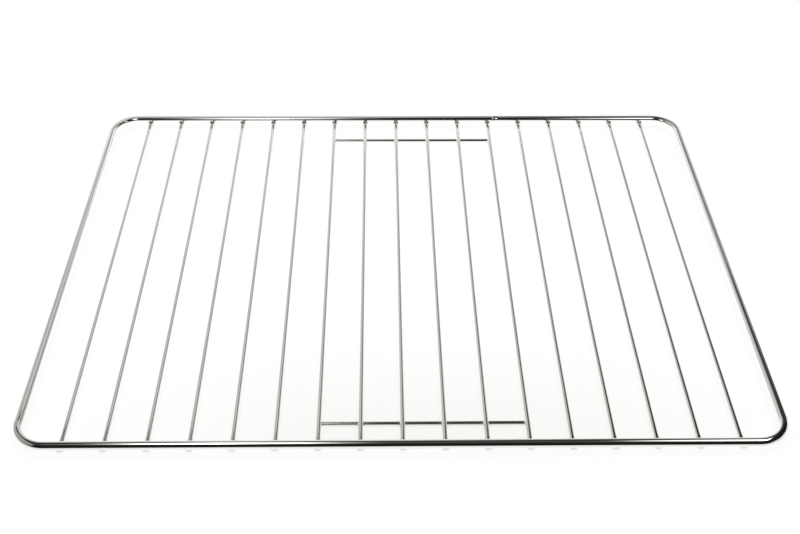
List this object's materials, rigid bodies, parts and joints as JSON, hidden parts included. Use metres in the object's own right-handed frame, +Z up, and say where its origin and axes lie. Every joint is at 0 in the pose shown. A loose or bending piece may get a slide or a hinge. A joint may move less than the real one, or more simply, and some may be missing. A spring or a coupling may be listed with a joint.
{
  "type": "oven shelf rack",
  "caption": "Flat chrome-plated wire oven shelf: a round-cornered frame with evenly spaced straight bars welded under it and short cross wires under the middle bars.",
  "frame": {"origin": "on the surface that the rack lies on, under the middle of the frame", "axes": "+X along the long side, to the right when facing the oven; +Y towards the back of the oven; +Z up"},
  "size_m": [0.46, 0.3603, 0.011],
  "materials": {
    "bright_chrome": "bright chrome plating on drawn steel wire"
  },
  "bodies": {
    "root": {"frame_loop": "bright_chrome", "bar_01": "bright_chrome", "bar_02": "bright_chrome", "bar_03": "bright_chrome", "bar_04": "bright_chrome", "bar_05": "bright_chrome", "bar_06": "bright_chrome", "bar_07": "bright_chrome", "bar_08": "bright_chrome", "bar_09": "bright_chrome", "bar_10": "bright_chrome", "bar_11": "bright_chrome", "bar_12": "bright_chrome", "bar_13": "bright_chrome", "bar_14": "bright_chrome", "bar_15": "bright_chrome", "bar_16": "bright_chrome", "bar_17": "bright_chrome", "cross_wire_front": "bright_chrome", "cross_wire_rear": "bright_chrome"}
  },
  "joints": []
}
